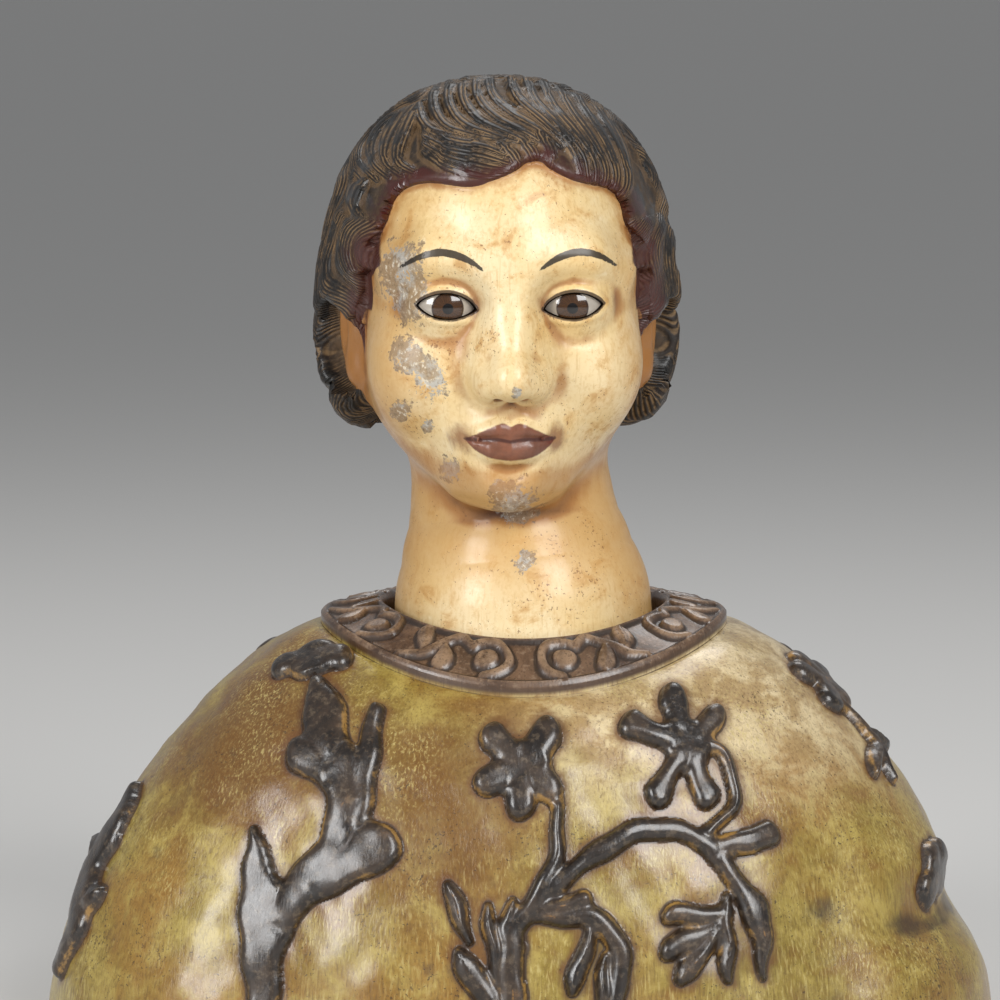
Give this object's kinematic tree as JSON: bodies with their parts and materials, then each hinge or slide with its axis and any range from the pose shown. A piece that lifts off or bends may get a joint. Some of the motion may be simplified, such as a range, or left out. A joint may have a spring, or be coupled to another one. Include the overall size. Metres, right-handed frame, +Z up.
{
  "type": "painted bust of a robed child figure",
  "caption": "Carved and painted wooden bust of a young robed figure with wavy hair, inset glass eyes, a scrolled collar and raised foliage, cut flat below.",
  "frame": {"origin": "middle of the bust's box in plan, on the flat underside", "axes": "+Z up, -Y the way the figure faces, +X to the right of a viewer who faces it"},
  "size_m": [0.2468, 0.1537, 0.2458],
  "materials": {
    "robe_glaze": "carved wood under a worn olive and ochre glaze with brown-black raised foliage, semi-gloss",
    "head_paint": "carved wood painted cream with brown-black hair, aged and chipped, semi-gloss",
    "eye_glass": "domed glass painted behind with a brown iris, glossy"
  },
  "bodies": {
    "root": {"robe": "robe_glaze", "head": "head_paint", "eye_left": "eye_glass", "eye_right": "eye_glass"}
  },
  "joints": []
}
